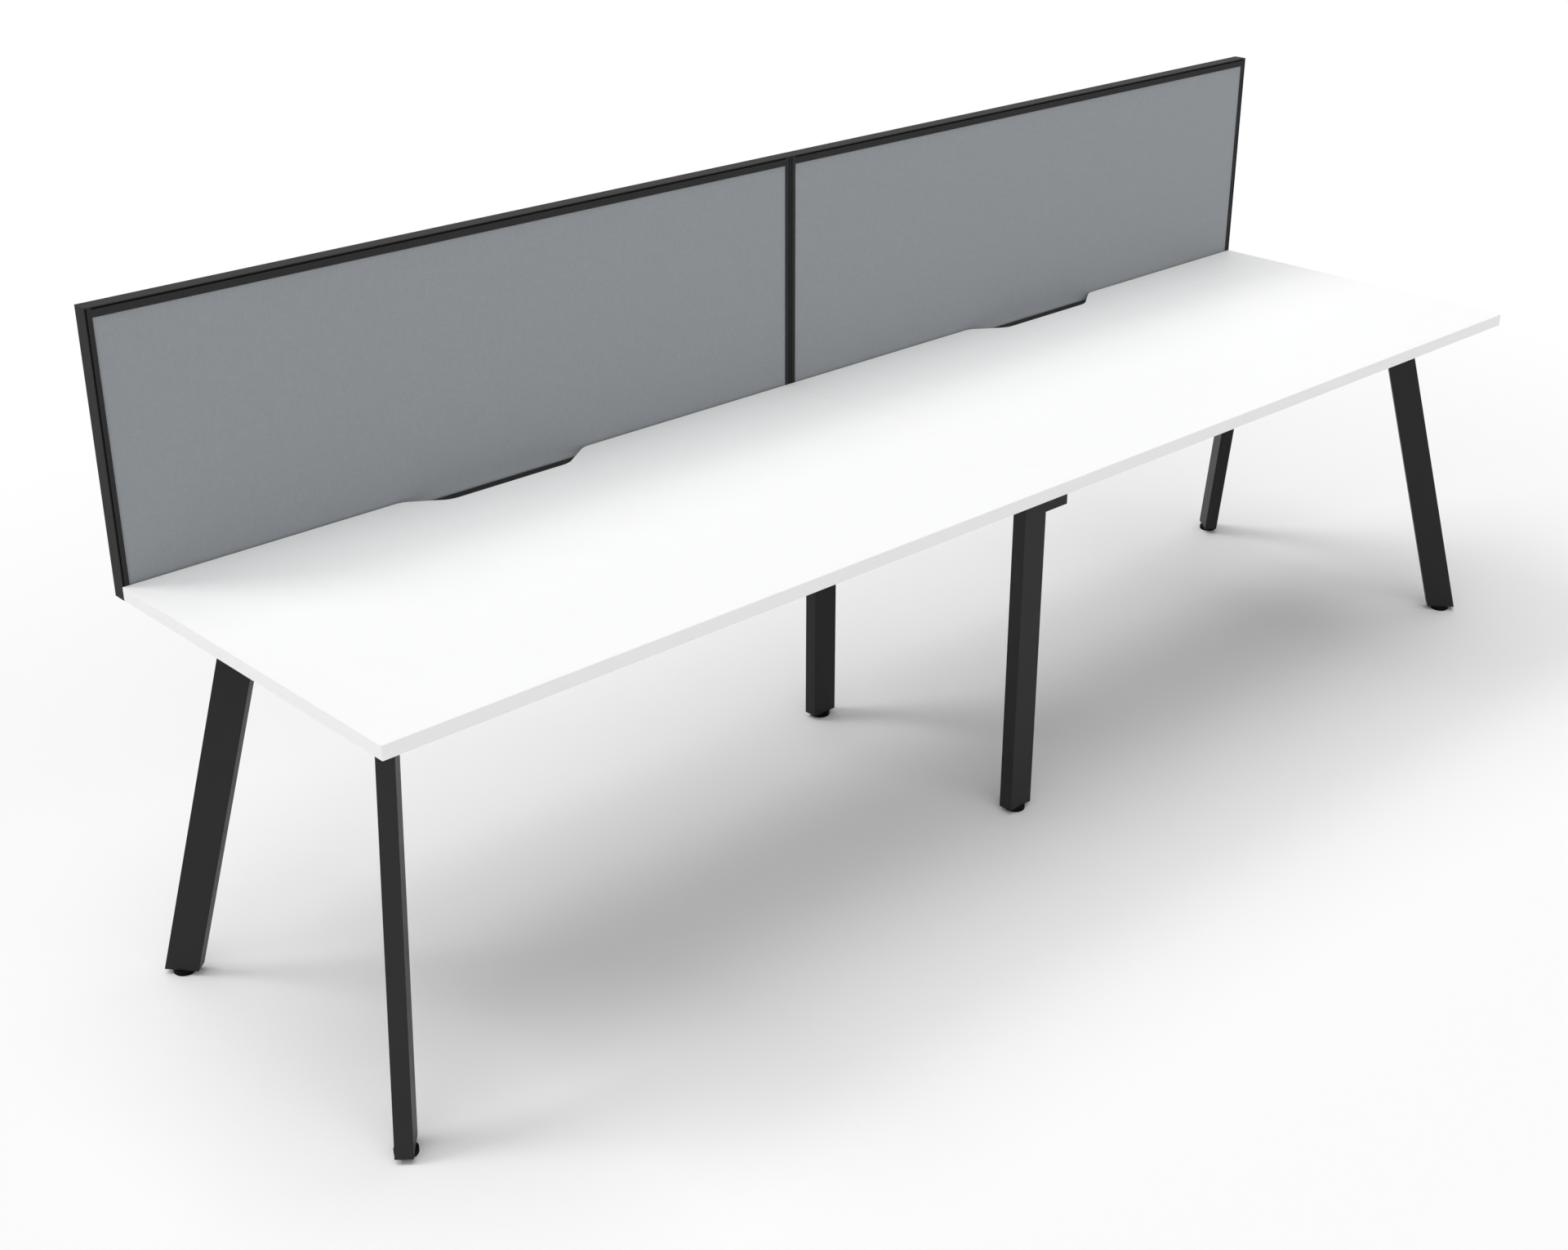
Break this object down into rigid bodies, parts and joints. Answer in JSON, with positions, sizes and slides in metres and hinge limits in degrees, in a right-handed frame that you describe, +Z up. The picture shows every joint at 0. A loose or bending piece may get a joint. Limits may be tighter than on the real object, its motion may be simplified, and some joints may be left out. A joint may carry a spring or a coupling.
{
  "type": "single-sided office workstation",
  "caption": "Row desk with white tops, rear cable notches and fabric screens in black frames, on splayed and upright black tube legs with levelling feet.",
  "frame": {"origin": "on the floor, under the middle of the whole object's plan", "axes": "+X along the row of tops to the user's right, +Y from the user towards the screens, +Z up"},
  "size_m": [3.03, 0.78, 1.2],
  "materials": {
    "white_board": "matt white facing on chipboard",
    "white_edge": "matt white edge band",
    "black_powder_coat": "fine-textured satin black powder coat",
    "black_profile": "satin black coating",
    "black_plastic": "matt moulded black",
    "grey_fabric": "plain-woven mid grey",
    "core_board": "raw fibreboard",
    "zinc_steel": "bright zinc plating"
  },
  "bodies": {
    "workstation": {"beam_bolts": "zinc_steel", "beam_end_plates": "black_powder_coat", "beam_nuts": "zinc_steel", "foot_bushes": "zinc_steel", "left_end_rail": "black_powder_coat", "left_front_beam": "black_powder_coat", "left_front_leg": "black_powder_coat", "left_leg_plates": "black_powder_coat", "left_rear_beam": "black_powder_coat", "left_rear_leg": "black_powder_coat", "left_screen_back_fabric": "grey_fabric", "left_screen_bottom_rail": "black_profile", "left_screen_core": "core_board", "left_screen_front_fabric": "grey_fabric", "left_screen_left_stile": "black_profile", "left_screen_right_stile": "black_profile", "left_screen_top_rail": "black_profile", "left_top": "white_board", "left_top_edge_band": "white_edge", "leg_plugs": "black_plastic", "middle_front_arm": "black_powder_coat", "middle_front_leg": "black_powder_coat", "middle_leg_plates": "black_powder_coat", "middle_rail": "black_powder_coat", "middle_rear_arm": "black_powder_coat", "middle_rear_leg": "black_powder_coat", "right_end_rail": "black_powder_coat", "right_front_beam": "black_powder_coat", "right_front_leg": "black_powder_coat", "right_leg_plates": "black_powder_coat", "right_rear_beam": "black_powder_coat", "right_rear_leg": "black_powder_coat", "right_screen_back_fabric": "grey_fabric", "right_screen_bottom_rail": "black_profile", "right_screen_core": "core_board", "right_screen_front_fabric": "grey_fabric", "right_screen_left_stile": "black_profile", "right_screen_right_stile": "black_profile", "right_screen_top_rail": "black_profile", "right_top": "white_board", "right_top_edge_band": "white_edge", "screen_bracket_screws": "zinc_steel", "screen_brackets": "black_powder_coat", "screen_corner_tongues": "zinc_steel", "screen_nut_plates": "zinc_steel", "screen_stile_caps": "black_plastic", "top_screws": "zinc_steel"},
    "left_front_foot": {"left_front_foot_pad": "black_plastic", "left_front_foot_stud": "zinc_steel"},
    "left_rear_foot": {"left_rear_foot_pad": "black_plastic", "left_rear_foot_stud": "zinc_steel"},
    "right_front_foot": {"right_front_foot_pad": "black_plastic", "right_front_foot_stud": "zinc_steel"},
    "right_rear_foot": {"right_rear_foot_pad": "black_plastic", "right_rear_foot_stud": "zinc_steel"},
    "middle_front_foot": {"middle_front_foot_pad": "black_plastic", "middle_front_foot_stud": "zinc_steel"},
    "middle_rear_foot": {"middle_rear_foot_pad": "black_plastic", "middle_rear_foot_stud": "zinc_steel"}
  },
  "joints": [
    {"name": "left_front_foot_level", "type": "slide", "parent": "workstation", "child": "left_front_foot", "axis": [0, 0, -1], "range_m": [0, 0.015]},
    {"name": "left_rear_foot_level", "type": "slide", "parent": "workstation", "child": "left_rear_foot", "axis": [0, 0, -1], "range_m": [0, 0.015]},
    {"name": "right_front_foot_level", "type": "slide", "parent": "workstation", "child": "right_front_foot", "axis": [0, 0, -1], "range_m": [0, 0.015]},
    {"name": "right_rear_foot_level", "type": "slide", "parent": "workstation", "child": "right_rear_foot", "axis": [0, 0, -1], "range_m": [0, 0.015]},
    {"name": "middle_front_foot_level", "type": "slide", "parent": "workstation", "child": "middle_front_foot", "axis": [0, 0, -1], "range_m": [0, 0.015]},
    {"name": "middle_rear_foot_level", "type": "slide", "parent": "workstation", "child": "middle_rear_foot", "axis": [0, 0, -1], "range_m": [0, 0.015]}
  ]
}
